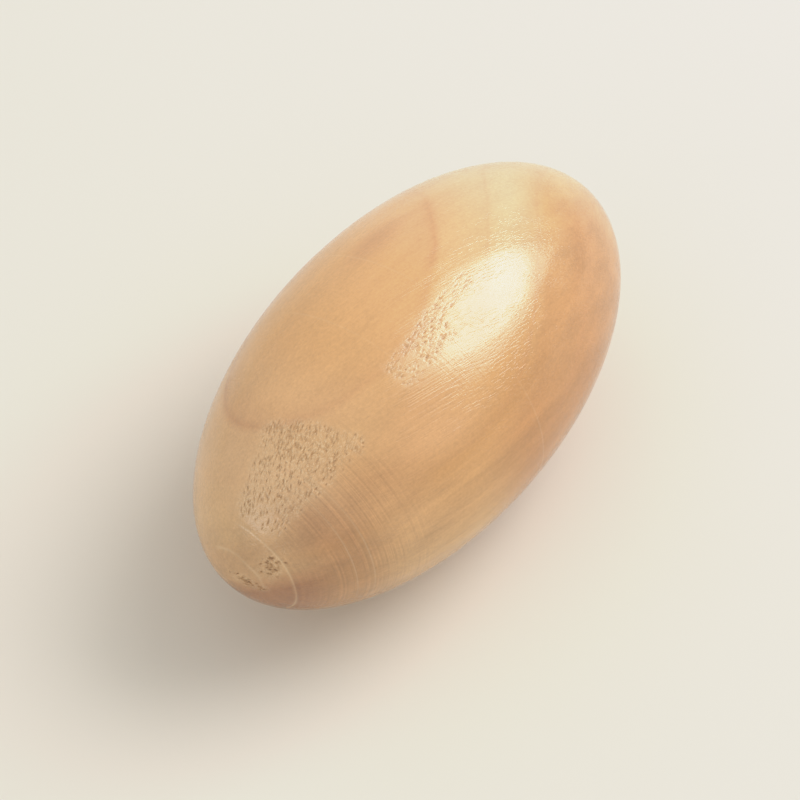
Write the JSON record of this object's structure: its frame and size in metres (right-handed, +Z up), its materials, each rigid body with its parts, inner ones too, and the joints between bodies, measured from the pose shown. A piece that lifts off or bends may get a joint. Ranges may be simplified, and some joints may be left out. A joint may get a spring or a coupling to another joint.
{
  "type": "egg shaker",
  "caption": "Turned wooden egg shaker lying on its side: two hollowed halves glued at a spigot joint, with loose steel shot sealed inside that rattles when the egg is shaken.",
  "frame": {"origin": "centre of the egg, on its turning axis and half-way along it", "axes": "+X along the egg's turning axis towards the half with the spigot, +Z up as the egg lies on its side, with the shot on the floor of the hollow"},
  "size_m": [0.083, 0.045, 0.045],
  "materials": {
    "turned_wood": "clear satin oil over fine turned and sanded wood",
    "steel_shot": "bright tumbled steel"
  },
  "bodies": {
    "egg_shell": {"near_half_shell": "turned_wood", "far_half_shell": "turned_wood"},
    "pellet_01": {"pellet_01": "steel_shot"},
    "pellet_02": {"pellet_02": "steel_shot"},
    "pellet_03": {"pellet_03": "steel_shot"},
    "pellet_04": {"pellet_04": "steel_shot"},
    "pellet_05": {"pellet_05": "steel_shot"},
    "pellet_06": {"pellet_06": "steel_shot"},
    "pellet_07": {"pellet_07": "steel_shot"},
    "pellet_08": {"pellet_08": "steel_shot"},
    "pellet_09": {"pellet_09": "steel_shot"},
    "pellet_10": {"pellet_10": "steel_shot"},
    "pellet_11": {"pellet_11": "steel_shot"},
    "pellet_12": {"pellet_12": "steel_shot"},
    "pellet_13": {"pellet_13": "steel_shot"},
    "pellet_14": {"pellet_14": "steel_shot"},
    "pellet_15": {"pellet_15": "steel_shot"},
    "pellet_16": {"pellet_16": "steel_shot"},
    "pellet_17": {"pellet_17": "steel_shot"},
    "pellet_18": {"pellet_18": "steel_shot"},
    "pellet_19": {"pellet_19": "steel_shot"},
    "pellet_20": {"pellet_20": "steel_shot"},
    "pellet_21": {"pellet_21": "steel_shot"},
    "pellet_22": {"pellet_22": "steel_shot"},
    "pellet_23": {"pellet_23": "steel_shot"},
    "pellet_24": {"pellet_24": "steel_shot"},
    "pellet_25": {"pellet_25": "steel_shot"}
  },
  "joints": [
    {"name": "pellet_01_flight", "type": "slide", "parent": "egg_shell", "child": "pellet_01", "axis": [0, 0, 1], "range_m": [0, 0.02123]},
    {"name": "pellet_02_flight", "type": "slide", "parent": "egg_shell", "child": "pellet_02", "axis": [0, 0, 1], "range_m": [0, 0.02368]},
    {"name": "pellet_03_flight", "type": "slide", "parent": "egg_shell", "child": "pellet_03", "axis": [0, 0, 1], "range_m": [0, 0.02519]},
    {"name": "pellet_04_flight", "type": "slide", "parent": "egg_shell", "child": "pellet_04", "axis": [0, 0, 1], "range_m": [0, 0.02591]},
    {"name": "pellet_05_flight", "type": "slide", "parent": "egg_shell", "child": "pellet_05", "axis": [0, 0, 1], "range_m": [0, 0.02591]},
    {"name": "pellet_06_flight", "type": "slide", "parent": "egg_shell", "child": "pellet_06", "axis": [0, 0, 1], "range_m": [0, 0.02519]},
    {"name": "pellet_07_flight", "type": "slide", "parent": "egg_shell", "child": "pellet_07", "axis": [0, 0, 1], "range_m": [0, 0.02368]},
    {"name": "pellet_08_flight", "type": "slide", "parent": "egg_shell", "child": "pellet_08", "axis": [0, 0, 1], "range_m": [0, 0.02123]},
    {"name": "pellet_09_flight", "type": "slide", "parent": "egg_shell", "child": "pellet_09", "axis": [0, 0, 1], "range_m": [0, 0.02125]},
    {"name": "pellet_10_flight", "type": "slide", "parent": "egg_shell", "child": "pellet_10", "axis": [0, 0, 1], "range_m": [0, 0.02407]},
    {"name": "pellet_11_flight", "type": "slide", "parent": "egg_shell", "child": "pellet_11", "axis": [0, 0, 1], "range_m": [0, 0.02591]},
    {"name": "pellet_12_flight", "type": "slide", "parent": "egg_shell", "child": "pellet_12", "axis": [0, 0, 1], "range_m": [0, 0.02696]},
    {"name": "pellet_13_flight", "type": "slide", "parent": "egg_shell", "child": "pellet_13", "axis": [0, 0, 1], "range_m": [0, 0.0273]},
    {"name": "pellet_14_flight", "type": "slide", "parent": "egg_shell", "child": "pellet_14", "axis": [0, 0, 1], "range_m": [0, 0.02696]},
    {"name": "pellet_15_flight", "type": "slide", "parent": "egg_shell", "child": "pellet_15", "axis": [0, 0, 1], "range_m": [0, 0.02591]},
    {"name": "pellet_16_flight", "type": "slide", "parent": "egg_shell", "child": "pellet_16", "axis": [0, 0, 1], "range_m": [0, 0.02407]},
    {"name": "pellet_17_flight", "type": "slide", "parent": "egg_shell", "child": "pellet_17", "axis": [0, 0, 1], "range_m": [0, 0.02125]},
    {"name": "pellet_18_flight", "type": "slide", "parent": "egg_shell", "child": "pellet_18", "axis": [0, 0, 1], "range_m": [0, 0.02123]},
    {"name": "pellet_19_flight", "type": "slide", "parent": "egg_shell", "child": "pellet_19", "axis": [0, 0, 1], "range_m": [0, 0.02368]},
    {"name": "pellet_20_flight", "type": "slide", "parent": "egg_shell", "child": "pellet_20", "axis": [0, 0, 1], "range_m": [0, 0.02519]},
    {"name": "pellet_21_flight", "type": "slide", "parent": "egg_shell", "child": "pellet_21", "axis": [0, 0, 1], "range_m": [0, 0.02591]},
    {"name": "pellet_22_flight", "type": "slide", "parent": "egg_shell", "child": "pellet_22", "axis": [0, 0, 1], "range_m": [0, 0.02591]},
    {"name": "pellet_23_flight", "type": "slide", "parent": "egg_shell", "child": "pellet_23", "axis": [0, 0, 1], "range_m": [0, 0.02519]},
    {"name": "pellet_24_flight", "type": "slide", "parent": "egg_shell", "child": "pellet_24", "axis": [0, 0, 1], "range_m": [0, 0.02368]},
    {"name": "pellet_25_flight", "type": "slide", "parent": "egg_shell", "child": "pellet_25", "axis": [0, 0, 1], "range_m": [0, 0.02123]}
  ]
}
